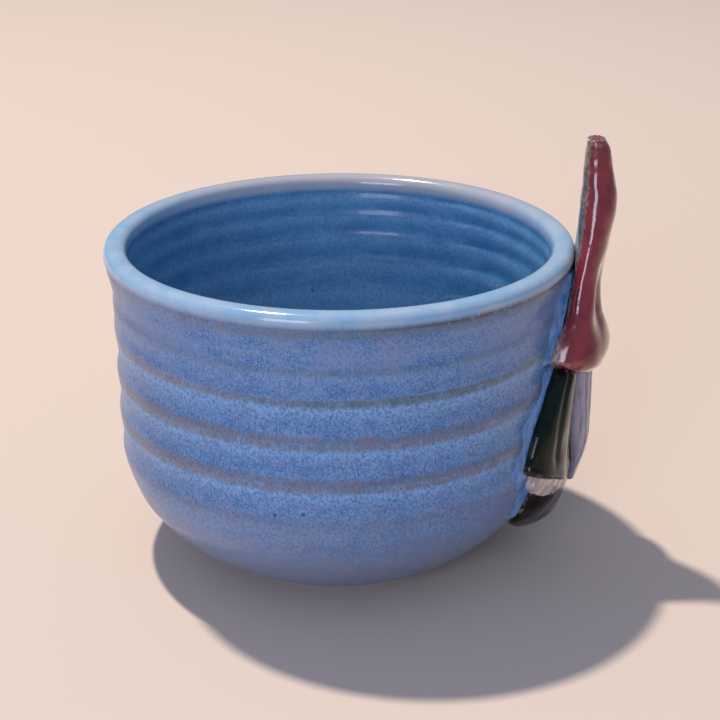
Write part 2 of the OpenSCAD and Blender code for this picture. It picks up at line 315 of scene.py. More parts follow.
def cobalt_slip_glaze():
    """Slip under the same glaze with cobalt in it: a brighter, wet-looking blue that fades out
    into the wall's colour at its feathered edge."""
    material, tree, shader = new_material("cobalt_slip_glaze")
    feather = add(tree, "ShaderNodeAttribute", out=2, attribute_name="feather")
    wet = patches(tree, 2.4, 0.35, 0.65, stretch=(1, 1, 0.5))
    veil = patches(tree, 3.2, 0.45, 0.7, w=5.0)
    pepper = patches(tree, 0.62, 0.42, 0.62, detail=2.0, stretch=(1, 1, 0.7), w=1.0)
    wall = lay(tree, "#5a92d0", ("#2f5596", pepper, 0.5))
    colour = lay(tree, "#2f64ac", ("#6798d2", wet), ("#737c9c", veil, 0.5), (wall, feather))
    gloss = add(tree, "ShaderNodeMapRange", {"Value": feather, "To Min": 0.12, "To Max": 0.4},
                interpolation_type="SMOOTHSTEP")
    glaze_surface(tree, shader, colour, gloss, (1.2, 0.06), coat=0.7)
    return material


def broken_glaze(name, body, pooled, broken, spread, gloss=0.08, speckle=0.0, coat=1.0,
                 glass=1.5):
    """A coloured glaze on modelled clay: darker where it pools, and worn to another colour where
    it runs thin over edges. spread is how wide that break runs."""
    material, tree, shader = new_material(name)
    cloud = patches(tree, 4.0, 0.35, 0.65, stretch=(1, 1, 0.5))
    rough = patches(tree, 1.1, 0.3, 0.7, -0.25, 0.25, w=5.0)
    edge = add(tree, "ShaderNodeAttribute", out=2, attribute_name="edge")
    worn = add(tree, "ShaderNodeMath", {0: edge, 1: rough}, operation="ADD")
    worn = add(tree, "ShaderNodeMapRange", {"Value": worn, "From Min": 1 - spread,
               "From Max": 1.35 - spread}, interpolation_type="SMOOTHSTEP")
    colour = lay(tree, pooled, (body, cloud), (broken, worn),
                 ("#2a2320", specks(tree, 2.4, 0.7, 0.6), speckle))
    shine = add(tree, "ShaderNodeMapRange", {"Value": worn, "To Min": gloss,
                "To Max": gloss + 0.2}, interpolation_type="SMOOTHSTEP")
    glaze_surface(tree, shader, colour, shine, (1.8, 0.05), coat, coat_roughness=gloss, glass=glass)
    return material


def oxblood_glaze():
    """Oxblood glaze over the hat: deep red and glassy, and worn grey-brown and pitted on its back,
    where the glaze is thin."""
    material = broken_glaze("oxblood_glaze", body="#8c2c36", pooled="#6c1f2b", broken="#8f625c",
                            spread=0.18, gloss=0.13, glass=1.6)
    tree = material.node_tree
    colour_in = tree.nodes["Principled BSDF"].inputs["Base Color"]
    clay = lay(tree, "#5b4a48", ("#8e7a76", patches(tree, 0.7, 0.4, 0.6, w=8.0)))
    back = add(tree, "ShaderNodeAttribute", out=2, attribute_name="back")
    ragged = patches(tree, 1.6, 0.35, 0.65, -0.3, 0.3, w=9.0)
    thin = add(tree, "ShaderNodeMath", {0: back, 1: ragged}, operation="ADD")
    thin = add(tree, "ShaderNodeMapRange", {"Value": thin, "From Min": 0.4, "From Max": 0.75},
               interpolation_type="SMOOTHSTEP")
    tree.links.new(lay(tree, colour_in.links[0].from_socket, (clay, thin)), colour_in)
    return material


# ---- the cup: a profile spun round by geometry nodes ----
ROW_VALUES = ("depth", "phase", "pitch", "lip", "inside", "crest_strength")


def inner_phase(z):
    """Rings counted down from the lip: they spread out as the hand goes deeper."""
    return math.log(1 + INNER_GROWTH * (ROLL_Z - z) / INNER_PITCH) / INNER_GROWTH - 0.68


def profile_rows():
    """Points of the half section from the axis under the foot, round the lip, to the axis inside.
    Each is (radius, height) and then the values named in ROW_VALUES."""
    rows = []
    hollow = FOOT_R - FOOT_W

    def put(r, z, depth=0.0, phase=0.5, pitch=10.0, lip=0.0, inside=0.0, crest=0.0):
        rows.append((r, z, depth, phase, pitch, lip, inside, crest))

    for i in range(7):
        put((hollow - 1.2) * i / 6, FOOT_RECESS)
    for r, z in ((hollow - 0.6, FOOT_RECESS - 0.2), (hollow - 0.2, FOOT_RECESS - 0.8),
                 (hollow, 0.9), (hollow + 0.1, 0.5), (hollow + 0.3, 0.15), (hollow + 0.7, 0.0),
                 (FOOT_R - 2.2, 0.0), (FOOT_R - 0.8, 0.0), (FOOT_R - 0.25, 0.25), (FOOT_R, 0.8),
                 (FOOT_R, FOOT_RISE - 0.3)):
        put(r, z)
    z = FOOT_RISE
    while z < ROLL_Z - 0.3:
        if z <= RIDGE_TOP:
            fade = ramp((z - 20) / 18)
            put(wall_r(z), z, -RIDGE_DEPTH * (0.3 + 0.7 * fade), (RIDGE_TOP - z) / RIDGE_PITCH,
                RIDGE_PITCH, crest=fade)
        else:
            fade = ramp((z - RIDGE_TOP) / 2) * ramp((FLARE_START + 3 - z) / 3)
            mauve = 0.7 * ramp(1 - abs(z - ROLL_Z + 2) / 2.2)
            phase = (FAINT_TOP - z) / FAINT_PITCH * min(1, fade * 9)
            put(wall_r(z), z, -FAINT_DEPTH * fade, phase, FAINT_PITCH,
                crest=max(0.4 * fade, mauve))
        z += 0.3 if z < 8 else 0.55
    for i in range(25):
        turn = math.pi * i / 24
        across = math.copysign(abs(math.cos(turn)) ** ROLL_SQUARE, math.cos(turn))
        put(ROLL_R + ROLL * across, ROLL_Z + ROLL * math.sin(turn) ** ROLL_SQUARE,
            lip=ramp((i + 2) / 4), inside=ramp((i - 20) / 4))
    z = ROLL_Z - 0.7
    while z > FLOOR_Z + 0.6:
        fade = ramp((z - FLOOR_Z - 12) / 8) * ramp((ROLL_Z - z) / 3)
        ease = ramp((z - ROLL_Z + 5) / 5)
        put(mix(inside_r(z), ROLL_R - ROLL, ease), z, INNER_DEPTH * fade, inner_phase(z),
            INNER_PITCH, lip=ramp((z - ROLL_Z + 1.4) / 1.4), inside=1.0, crest=0.9 * fade)
        z -= 0.72 if z > FLOOR_Z + 6 else 0.3
    edge = rows[-1]
    for i in range(12):
        t = 1 - (i + 1) / 12
        put(edge[0] * t, FLOOR_Z + (edge[1] - FLOOR_Z) * t * t, inside=1.0)
    return rows


def profile_object():
    """The profile as loose points that carry their ring sizes and colour zones."""
    rows = profile_rows()
    mesh = bpy.data.meshes.new("cup_profile")
    mesh.from_pydata([(r * MM, 0, z * MM) for r, z, *_ in rows], [], [])
    for index, name in enumerate(ROW_VALUES):
        scale = MM if name in ("depth", "pitch") else 1
        layer = mesh.attributes.new(name, "FLOAT", "POINT")
        layer.data.foreach_set("value", [row[index + 2] * scale for row in rows])
    return bpy.data.objects.new("cup_profile", mesh)


def thrown_pot_tree(material):
    """Spins the profile points round the axis and cuts the throwing rings, which drift and vary."""
    tree = bpy.data.node_groups.new("thrown_pot", "GeometryNodeTree")
    face = tree.interface
    face.new_socket("Geometry", in_out="INPUT", socket_type="NodeSocketGeometry")
    for name in ("Columns", "Wobble", "Drift", "Lean", "Lean Start", "Tall", "Seed"):
        kind = "NodeSocketInt" if name == "Columns" else "NodeSocketFloat"
        face.new_socket(name, in_out="INPUT", socket_type=kind)
    face.new_socket("Geometry", in_out="OUTPUT", socket_type="NodeSocketGeometry")
    given = add(tree, "NodeGroupInput").node.outputs
    points = given["Geometry"]

    # a grid with one row for each profile point; its x turns into the angle
    count = add(tree, "GeometryNodeAttributeDomainSize", {"Geometry": points}, component="MESH")
    grid = add(tree, "GeometryNodeMeshGrid", {"Size X": 1.0, "Size Y": 1.0,
               "Vertices X": given["Columns"], "Vertices Y": count})
    position = add(tree, "GeometryNodeInputPosition")
    cell = add(tree, "ShaderNodeSeparateXYZ", {"Vector": position}).node.outputs
    angle = add(tree, "ShaderNodeMath", {0: cell["X"], 1: 0.5}, operation="ADD")
    angle = add(tree, "ShaderNodeMath", {0: angle, 1: math.tau}, operation="MULTIPLY")
    last = add(tree, "ShaderNodeMath", {0: count, 1: 1.0}, operation="SUBTRACT")
    row = add(tree, "ShaderNodeMath", {0: cell["Y"], 1: 0.5}, operation="ADD")
    row = add(tree, "ShaderNodeMath", {0: row, 1: last}, operation="MULTIPLY")
    row = add(tree, "ShaderNodeMath", {0: row}, operation="ROUND")
    spot = add(tree, "GeometryNodeSampleIndex", {"Geometry": points, "Value": position,
               "Index": row}, data_type="FLOAT_VECTOR")
    spot = add(tree, "ShaderNodeSeparateXYZ", {"Vector": spot}).node.outputs
    carried = {}
    for name in ROW_VALUES:
        value = add(tree, "GeometryNodeInputNamedAttribute", {"Name": name}, data_type="FLOAT")
        carried[name] = add(tree, "GeometryNodeSampleIndex", {"Geometry": points, "Value": value,
                            "Index": row}, data_type="FLOAT")

    # slow noise round the pot moves the wall and the rings; quicker noise varies the finger's force
    cosine = add(tree, "ShaderNodeMath", {0: angle}, operation="COSINE")
    sine = add(tree, "ShaderNodeMath", {0: angle}, operation="SINE")
    outward = add(tree, "ShaderNodeCombineXYZ", {"X": cosine, "Y": sine})
    noise_z = add(tree, "ShaderNodeMath", {0: spot["Z"], 1: 22.0}, operation="MULTIPLY")
    round_pot = add(tree, "ShaderNodeCombineXYZ", {"X": cosine, "Y": sine, "Z": noise_z})
    slow = add(tree, "ShaderNodeTexNoise", {"Vector": round_pot, "W": given["Seed"], "Scale": 0.9,
               "Detail": 1.0}, noise_dimensions="4D")
    slow = add(tree, "ShaderNodeMath", {0: slow, 1: 0.5}, operation="SUBTRACT")
    other_seed = add(tree, "ShaderNodeMath", {0: given["Seed"], 1: 5.0}, operation="ADD")
    quick = add(tree, "ShaderNodeTexNoise", {"Vector": round_pot, "W": other_seed, "Scale": 1.6,
                "Detail": 1.5}, noise_dimensions="4D")

    # the finger's groove: it deepens slowly under each ridge and climbs out quickly
    shift = add(tree, "ShaderNodeMath", {0: slow, 1: given["Drift"]}, operation="MULTIPLY")
    shift = add(tree, "ShaderNodeMath", {0: shift, 1: carried["pitch"]}, operation="DIVIDE")
    turn = add(tree, "ShaderNodeMath", {0: carried["phase"], 1: shift}, operation="ADD")
    turn = add(tree, "ShaderNodeMath", {0: turn}, operation="FRACT")
    dip = add(tree, "ShaderNodeMapRange", {"Value": turn, "From Min": 0.0, "From Max": 0.67},
              interpolation_type="SMOOTHSTEP")
    climb = add(tree, "ShaderNodeMapRange", {"Value": turn, "From Min": 1.0, "From Max": 0.67},
                interpolation_type="SMOOTHSTEP")
    force = add(tree, "ShaderNodeMapRange", {"Value": quick, "From Min": 0.3, "From Max": 0.7,
                "To Min": 0.7, "To Max": 1.2})
    cut = add(tree, "ShaderNodeMath", {0: dip, 1: climb}, operation="MULTIPLY")
    cut = add(tree, "ShaderNodeMath", {0: cut, 1: carried["depth"]}, operation="MULTIPLY")
    cut = add(tree, "ShaderNodeMath", {0: cut, 1: force}, operation="MULTIPLY")

    # where the glaze breaks on the ridge, with painted shade outside and a painted highlight
    # inside, and where it pools under it, lightened partly as pooled glaze and partly as painted
    # light
    back = add(tree, "ShaderNodeMath", {0: 1.0, 1: turn}, operation="SUBTRACT")
    nearest = add(tree, "ShaderNodeMath", {0: turn, 1: back}, operation="MINIMUM")
    crest = add(tree, "ShaderNodeMapRange", {"Value": nearest, "From Min": 0.23, "From Max": 0.1},
                interpolation_type="SMOOTHSTEP")
    crest = add(tree, "ShaderNodeMath", {0: crest, 1: carried["crest_strength"]},
                operation="MULTIPLY")
    pool_and_highlight = add(tree, "ShaderNodeMapRange", {"Value": turn, "From Min": 0.62, "From Max": 0.14},
               interpolation_type="SMOOTHSTEP")
    pool_and_highlight = add(tree, "ShaderNodeMath", {0: pool_and_highlight, 1: carried["crest_strength"]},
               operation="MULTIPLY")

    # the cut and the wall's sway, which fade out at the axis, and the sway at the foot too
    rise = add(tree, "ShaderNodeMapRange", {"Value": spot["Z"], "From Min": 0.003,
               "From Max": 0.03})
    sway = add(tree, "ShaderNodeMath", {0: slow, 1: given["Wobble"]}, operation="MULTIPLY")
    sway = add(tree, "ShaderNodeMath", {0: sway, 1: rise}, operation="MULTIPLY")
    off_axis = add(tree, "ShaderNodeMapRange", {"Value": spot["X"], "From Min": 0.0,
                   "From Max": 0.01})
    change = add(tree, "ShaderNodeMath", {0: cut, 1: sway}, operation="ADD")
    change = add(tree, "ShaderNodeMath", {0: change, 1: off_axis}, operation="MULTIPLY")
    radius = add(tree, "ShaderNodeMath", {0: spot["X"], 1: change}, operation="ADD")
    flat = add(tree, "ShaderNodeVectorMath", {0: outward, "Scale": radius}, operation="SCALE")

    # the lip's lean towards +X
    above = add(tree, "ShaderNodeMath", {0: spot["Z"], 1: given["Lean Start"]},
                operation="SUBTRACT")
    above = add(tree, "ShaderNodeMath", {0: above, 1: 0.0}, operation="MAXIMUM")
    span = add(tree, "ShaderNodeMath", {0: given["Tall"], 1: given["Lean Start"]},
               operation="SUBTRACT")
    above = add(tree, "ShaderNodeMath", {0: above, 1: span}, operation="DIVIDE")
    above = add(tree, "ShaderNodeMath", {0: above, 1: LEAN_CURVE}, operation="POWER")
    aside = add(tree, "ShaderNodeMath", {0: above, 1: given["Lean"]}, operation="MULTIPLY")
    lift = add(tree, "ShaderNodeCombineXYZ", {"X": aside, "Z": spot["Z"]})
    place = add(tree, "ShaderNodeVectorMath", {0: flat, 1: lift}, operation="ADD")

    shape = grid
    for name, value in (("lip", carried["lip"]), ("inside", carried["inside"]), ("crest", crest),
                        ("pool_and_highlight", pool_and_highlight)):
        shape = add(tree, "GeometryNodeStoreNamedAttribute", {"Geometry": shape, "Name": name,
                    "Value": value}, data_type="FLOAT", domain="POINT")
    shape = add(tree, "GeometryNodeSetPosition", {"Geometry": shape, "Position": place})
    shape = add(tree, "GeometryNodeMergeByDistance", {"Geometry": shape, "Distance": 0.002 * MM})
    shape = add(tree, "GeometryNodeSetShadeSmooth", {"Geometry": shape})
    shape = add(tree, "GeometryNodeRealizeInstances", {"Geometry": shape})
    shape = add(tree, "GeometryNodeSetMaterial", {"Geometry": shape, "Material": material})
    end = tree.nodes.new("NodeGroupOutput")
    tree.links.new(shape, end.inputs["Geometry"])
    return tree


def run_tree(source, tree, values, name):
    """Runs a geometry tree on an object and returns its result as a plain mesh object."""
    bpy.context.scene.collection.objects.link(source)
    modifier = source.modifiers.new("make", "NODES")
    modifier.node_group = tree
    for item in tree.interface.items_tree:
        if item.name in values and item.in_out == "INPUT":
            modifier[item.identifier] = values[item.name]
    graph = bpy.context.evaluated_depsgraph_get()
    mesh = bpy.data.meshes.new_from_object(source.evaluated_get(graph), depsgraph=graph,
                                           preserve_all_data_layers=True)
    bpy.data.objects.remove(source)
    mesh.name = name
    piece = bpy.data.objects.new(name, mesh)
    bpy.context.scene.collection.objects.link(piece)
    return piece


def paint(mesh, name, value):
    """Stores value(vertex place in mm) on every vertex."""
    layer = mesh.attributes.new(name, "FLOAT", "POINT")
    layer.data.foreach_set("value", [value(v.co / MM) for v in mesh.vertices])


def turn_outward(mesh):
    work = bmesh.new()
    work.from_mesh(mesh)
    bmesh.ops.recalc_face_normals(work, faces=work.faces)
    work.to_mesh(mesh)
    work.free()


def bare_clay(place):
    """The foot ring's face, wiped clean of glaze."""
    return ramp((0.5 - place.z) / 0.4) * ramp((FOOT_R + 1 - math.hypot(place.x, place.y)) / 0.5)


def scorch_line(place):
    """A burnt line under the lip, strongest beside the gnome."""
    if math.hypot(place.x, place.y) < WALL - 1:
        return 0.0
    aside = abs(math.degrees(math.atan2(place.y, place.x)))
    return ramp(1 - abs(place.z - ROLL_Z + 0.7) / 1.1) * mix(0.2, 1.0, ramp((90 - aside) / 40))


def make_cup(material):
    tree = thrown_pot_tree(material)
    sizes = {"Columns": 289, "Wobble": 0.9 * MM, "Drift": 2.0 * MM, "Lean": LEAN * MM,
             "Lean Start": LEAN_START * MM, "Tall": TALL * MM, "Seed": 3.0}
    cup = run_tree(profile_object(), tree, sizes, "cup")
    turn_outward(cup.data)
    paint(cup.data, "bare", bare_clay)
    paint(cup.data, "scorch", scorch_line)
    return cup


# ---- the gnome: relief pieces over the wall ----
def around(s, z, r):
    """Place at distance s round from the gnome's middle line, height z and radius r."""
    angle = s / max(wall_r(min(z, SPREAD_Z)), SLAB_R)
    return Vector((r * math.cos(angle), r * math.sin(angle), z))


def unroll(place):
    """The s, z and r of a place."""
    angle = math.atan2(place.y, place.x)
    s = angle * max(wall_r(min(place.z, SPREAD_Z)), SLAB_R)
    return s, place.z, math.hypot(place.x, place.y)


def relief(name, columns, rows, place, inner, outer):
    """A closed solid between two radii over a patch: place(u, v) gives s and z."""
    verts, faces = [], []
    for j in range(rows + 1):
        at = [place(-math.cos(math.pi * i / columns), j / rows) for i in range(columns + 1)]
        verts += [around(s, z, outer(s, z)) * MM for s, z in at]
        verts += [around(s, z, inner(s, z)) * MM for s, z in reversed(at)]
    ring = 2 * (columns + 1)
    for j in range(rows):
        for i in range(ring):
            k = (i + 1) % ring
            faces.append((j * ring + i, j * ring + k, (j + 1) * ring + k, (j + 1) * ring + i))
    top = rows * ring
    for i in range(columns):
        faces.append((i, ring - 1 - i, ring - 2 - i, i + 1))
        faces.append((top + i, top + i + 1, top + ring - 2 - i, top + ring - 1 - i))
    mesh = bpy.data.meshes.new(name)
    mesh.from_pydata(verts, [], faces)
    piece = bpy.data.objects.new(name, mesh)
    bpy.context.scene.collection.objects.link(piece)
    return piece


def soften(piece, voxel, passes):
    """Rounds a piece as wet clay and glaze do: an even remesh, then smoothing."""
    remesh = piece.modifiers.new("even", "REMESH")
    remesh.mode = "VOXEL"
    remesh.voxel_size = voxel * MM
    smooth = piece.modifiers.new("round", "SMOOTH")
    smooth.iterations = passes
    smooth.factor = 0.5
    graph = bpy.context.evaluated_depsgraph_get()
    mesh = bpy.data.meshes.new_from_object(piece.evaluated_get(graph), depsgraph=graph)
    piece.modifiers.clear()
    old = piece.data
    name = old.name
    piece.data = mesh
    bpy.data.meshes.remove(old)
    mesh.name = name
    for polygon in mesh.polygons:
        polygon.use_smooth = True


def press(piece, depth):
    """Moves each vertex along its normal by depth(s, z, r, normal) millimetres."""
    normals = [v.normal.copy() for v in piece.data.vertices]
    for vertex, normal in zip(piece.data.vertices, normals):
        vertex.co += normal * depth(*unroll(vertex.co / MM), normal) * MM


def fit_height(piece, low, high):
    """Stretches a piece to the heights it had before it was softened."""
    heights = [v.co.z for v in piece.data.vertices]
    bottom, top = min(heights), max(heights)
    for vertex in piece.data.vertices:
        vertex.co.z = mix(low, high, (vertex.co.z - bottom) / (top - bottom)) * MM


def lumps(place, size, seed):
    """Smooth noise between -1 and 1 with lumps of size millimetres."""
    return noise.noise(Vector(place) / size + Vector((seed, seed * 1.7, -seed)))


def mark_edges(piece, spread=6):
    """Paints how convex the surface is: 0 on flats and hollows, up to 1 on outer edges."""
    mesh = piece.data
    near = [[] for _ in mesh.vertices]
    for edge in mesh.edges:
        a, b = edge.vertices
        near[a].append(b)
        near[b].append(a)
    places = [v.co.copy() for v in mesh.vertices]
    values = []
    for i, vertex in enumerate(mesh.vertices):
        middle = sum((places[j] for j in near[i]), Vector()) / len(near[i])
        values.append(max(0.0, (vertex.co - middle).dot(vertex.normal)) / MM)
    for _ in range(spread):
        values = [0.5 * values[i] + 0.5 * sum(values[j] for j in near[i]) / len(near[i])
                  for i in range(len(values))]
    ranked = sorted(values)
    full = max(1e-6, ranked[int(len(ranked) * 0.97)])
    layer = mesh.attributes.new("edge", "FLOAT", "POINT")
    layer.data.foreach_set("value", [min(1.0, value / full) for value in values])


def brim_z(s):
    return HAT_BASE + HAT_LIFT * min(1.0, abs(s) / HAT_HALF) ** 2


# coat
def coat_half(z):
    if z > COAT_BEND:
        return COAT_HALF - COAT_TAPER * (z - COAT_BEND)
    bend = max(0.0, (COAT_BEND - z) / (COAT_BEND - COAT_BASE)) ** 1.5
    return COAT_HALF * math.sqrt(max(0.02, 1 - bend))


def coat_front(z):
    return COAT_R - SAG * max(0.0, SAG_Z - z) ** 1.8


def coat_in(z):
    return max(near_r(z), SLAB_R)


def tongue(z):
    return math.sqrt(max(0.04, 1 - (max(0.0, COAT_BASE + TONGUE_H - z) / TONGUE_H) ** 2))


def coat_out(s, z):
    thick = mix(coat_in(z) + COAT_HEM_T, coat_front(z), dome(s / coat_half(z), 2, 1.15))
    return mix(coat_in(z), thick, tongue(z))


def under_arm(s, z):
    return coat_out(s, z) if abs(s) < coat_half(z) else near_r(z)


# sleeve and hand
def arm_edge(z):
    return ARM_REACH - ARM_DRAW * (max(0.0, z - CUFF_Z) / ARM_RUN) ** 1.9


def arm_inner(z):
    return ARM_ROOT + 0.07 * (HAT_BASE - z)


def arm_mid(z):
    return (arm_edge(z) + arm_inner(z)) / 2


def arm_half(z):
    return (arm_edge(z) - arm_inner(z)) / 2


def arm_out(s, z, rise):
    u = (abs(s) - arm_mid(z)) / arm_half(z)
    base = mix(ARM_R + 0.03 * (z - ARM_R_Z), near_r(z) + ARM_EDGE_T, (u + 1) / 2)
    return max(under_arm(s, z) + 0.35, base + rise * dome(u, 2.4, 2))


def hand_half(drop):
    return HAND_W * math.sqrt(max(0.04, 1 - max(0.0, drop / HAND_DROP) ** 2.2))


def on_hem(s, z):
    """Distance along the hem from its middle, and distance below it."""
    along, up = abs(s) - HEM_MID, z - HEM
    return (along * math.cos(HEM_TILT) + up * math.sin(HEM_TILT),
            along * math.sin(HEM_TILT) - up * math.cos(HEM_TILT))


# hat
def hat_side(z):
    if z > BRIM_Z:
        left = max(0.0, HAT_TOP - z) / (HAT_TOP - BRIM_Z)
        return TIP_HALF + (HAT_HALF - TIP_HALF) * left ** 1.55
    return HAT_HALF - 0.8 * ((BRIM_Z - z) / BRIM_RUN) ** 2


def hat_in(z):
    if z < LOOSE_Z:
        return near_r(z)
    return min(near_r(LOOSE_Z) + 0.2 * (z - LOOSE_Z), BACK_R + 0.06 * (z - BACK_Z))


def hat_front(z):
    brim = BRIM_SWELL * math.exp(-((z - BRIM_Z) / BRIM_RUN) ** 2)
    return HAT_R + brim + TIP_SWELL * math.exp(-((z - TIP_SWELL_Z) / TIP_RUN) ** 2)


def hat_seam(z):
    """Radius of the hat's side line, between its front and its back."""
    loose = ramp((z - ROUND_Z) / ROUND_RUN)
    return hat_in(z) + mix(2.6, 0.46 * (hat_front(z) - hat_in(z)), loose)


def hat_belly(s, z):
    low = ramp((z - brim_z(s) + 0.6) / 3)
    front = hat_front(z) - 2.2 * (1 - low) - ramp((z - HAT_TOP + 3) / 3)
    return mix(hat_seam(z), front, dome(s / hat_side(z), 2.4, 2))


def hat_back(s, z):
    loose = ramp((z - ROUND_Z) / ROUND_RUN)
    return hat_in(z) + loose * (hat_seam(z) - hat_in(z)) * (1 - dome(s / hat_side(z), 2.4, 2))


# beard
def beard_half(z):
    taper = mix(0.5, 1, ramp((z - BEARD_BASE) / 18))
    return BEARD_HALF * taper * math.sqrt(max(0.3, 1 - (max(0.0, BEARD_BASE + 3 - z) / 3) ** 2))


def make_coat():
    def place(u, v):
        z = mix(COAT_BASE, brim_z(u * coat_half(HAT_BASE)), v)
        return u * coat_half(z), z

    coat = relief("gnome_coat", 44, 60, place,
                  lambda s, z: coat_in(z) - BURIED * ramp((z - 13) / 3),
                  lambda s, z: max(coat_out(s, z), coat_in(z) + 0.3))
    soften(coat, 0.42, 6)
    press(coat, lambda s, z, r, normal: 0.1 + 0.25 * lumps((s, z, r), 7, 2.0)
          + 0.1 * lumps((s, z, r), 2.5, 3.0))
    mark_edges(coat)
    return coat


def make_sleeve(name, side):
    def place(u, v):
        w = side * u
        hem = HEM + HEM_HALF * w * math.tan(HEM_TILT)
        z = mix(hem, brim_z(mix(ARM_ROOT, SHOULDER, (w + 1) / 2)), v)
        return side * (arm_mid(z) + w * arm_half(z)), z

    sleeve = relief(name, 36, 56, place, lambda s, z: under_arm(s, z) - BURIED,
                    lambda s, z: arm_out(s, z, SLEEVE_T))
    soften(sleeve, 0.34, 4)

    def creases(s, z, r, normal):
        """Thumbed folds that run down the sleeve, and a thickened hem."""
        u = (abs(s) - arm_mid(z)) / arm_half(z)
        below = on_hem(s, z)[1]
        fold = math.exp(-((u - 0.3 - 0.015 * (z - 38)) / 0.12) ** 2) * ramp((-below - 1) / 5)
        hem = math.exp(-((below + 0.9) / 0.8) ** 2)
        return 0.1 - 0.5 * fold + 0.25 * hem + 0.22 * lumps((s, z, r), 6, 5.0 + side)

    press(sleeve, creases)
    mark_edges(sleeve)
    return sleeve


def make_hand(name, side):
    def place(u, v):
        drop = mix(HAND_DROP, -0.8, v)
        w = side * u * hand_half(drop)
        return (side * (HEM_MID + w * math.cos(HEM_TILT) + drop * math.sin(HEM_TILT)),
                HEM + w * math.sin(HEM_TILT) - drop * math.cos(HEM_TILT))

    def outer(s, z):
        w, drop = on_hem(s, z)
        front = arm_out(abs(s), z, HAND_T) - 1.2 * max(0.0, drop / HAND_DROP) ** 3
        return max(under_arm(s, z) + 0.5, front)

    hand = relief(name, 60, 34, place, lambda s, z: under_arm(s, z) - BURIED, outer)
    soften(hand, 0.24, 4)

    def knuckles(s, z, r, normal):
        """Grooves between four fingers."""
        w, drop = on_hem(s, z)
        gap = max(0.0, math.cos(math.tau * 2 * (w / HAND_W + 0.5))) ** 4
        return 0.1 - 0.55 * gap * ramp((drop + 0.5) / 2) + 0.08 * lumps((s, z, r), 2, 9.0)

    press(hand, knuckles)
    mark_edges(hand, spread=3)
    return hand


def make_hat():
    def place(u, v):
        z = mix(brim_z(u * HAT_HALF), HAT_TOP, v)
        return u * hat_side(z), z

    hat = relief("gnome_hat", 48, 110, place,
                 lambda s, z: hat_back(s, z) - BURIED * ramp((ROUND_Z - z) / 4),
                 lambda s, z: max(hat_back(s, z) + 0.4, hat_belly(s, z)))
    soften(hat, 0.42, 5)
    fit_height(hat, HAT_BASE, HAT_TOP)

    def pinches(s, z, r, normal):
        """Upright pleats where the cone was squeezed over the brim, dents, and a dimpled tip."""
        across = s / hat_side(z)
        squeezed = math.exp(-((z - 69) / 6.5) ** 2)
        pleat = squeezed * 0.7 * math.cos(across * 9.5 + 0.8)
        dimple = 0.9 * ramp((normal.z - 0.6) / 0.3) * ramp((z - HAT_TOP + 3) / 2)
        dents = 0.3 * lumps((s, z, r), 9, 4.0) + 0.15 * lumps((s, z, r), 3.4, 6.0)
        return 0.12 + pleat + dents - dimple

    press(hat, pinches)
    mark_edges(hat)
    paint(hat.data, "back", lambda place: thin_back(*unroll(place)))
    return hat


def thin_back(s, z, r):
    """1 on the hat's back, where the glaze is thin, 0 from a quarter of the way forward."""
    depth = (r - hat_in(z)) / max(1.0, hat_front(z) - hat_in(z))
    return ramp((0.3 - depth) / 0.18)


def make_beard():
    def place(u, v):
        z = mix(BEARD_BASE, brim_z(u * BEARD_HALF), v)
        return u * beard_half(z), z

    def outer(s, z):
        full = 0.35 + 0.65 * ramp((z - BEARD_BASE) / 14)
        swell = BEARD_SWELL * dome(s / beard_half(z), 2, 2) * full
        return coat_out(s, z) + BEARD_EDGE_T + swell

    beard = relief("gnome_beard", 40, 70, place, lambda s, z: coat_out(s, z) - BURIED, outer)
    soften(beard, 0.3, 4)

    def combed(s, z, r, normal):
        """Long grooves drawn down the beard with a needle."""
        sway = 0.5 * math.sin(z * 0.21 + s * 0.4)
        line = 0.5 + 0.5 * math.cos((s + sway) * 2.6)
        return 0.1 - 0.34 * line ** 4 + 0.12 * lumps((s, z, r), 4, 8.0)

    press(beard, combed)
    mark_edges(beard, spread=2)
    return beard


# slip
def slip_edge(z):
    """Half the width of the gnome where the slip starts."""
    if z < CUFF_JOIN:
        return mix(coat_half(z), ARM_REACH, ramp((z - COAT_JOIN) / (CUFF_JOIN - COAT_JOIN)))
    if z < BRIM_JOIN:
        return arm_edge(z)
    return mix(arm_edge(BRIM_JOIN), hat_side(z), ramp((z - BRIM_JOIN) / 3))


def slip_width(z, side):
    ragged = 0.6 * lumps((side * 3.0, z, 0.0), 9, 11.0) + 0.2 * lumps((0.0, z, side * 5.0), 3, 12.0)
    return (SLIP_W + ragged) * (1 - 0.3 * ramp((z - 66) / 10))


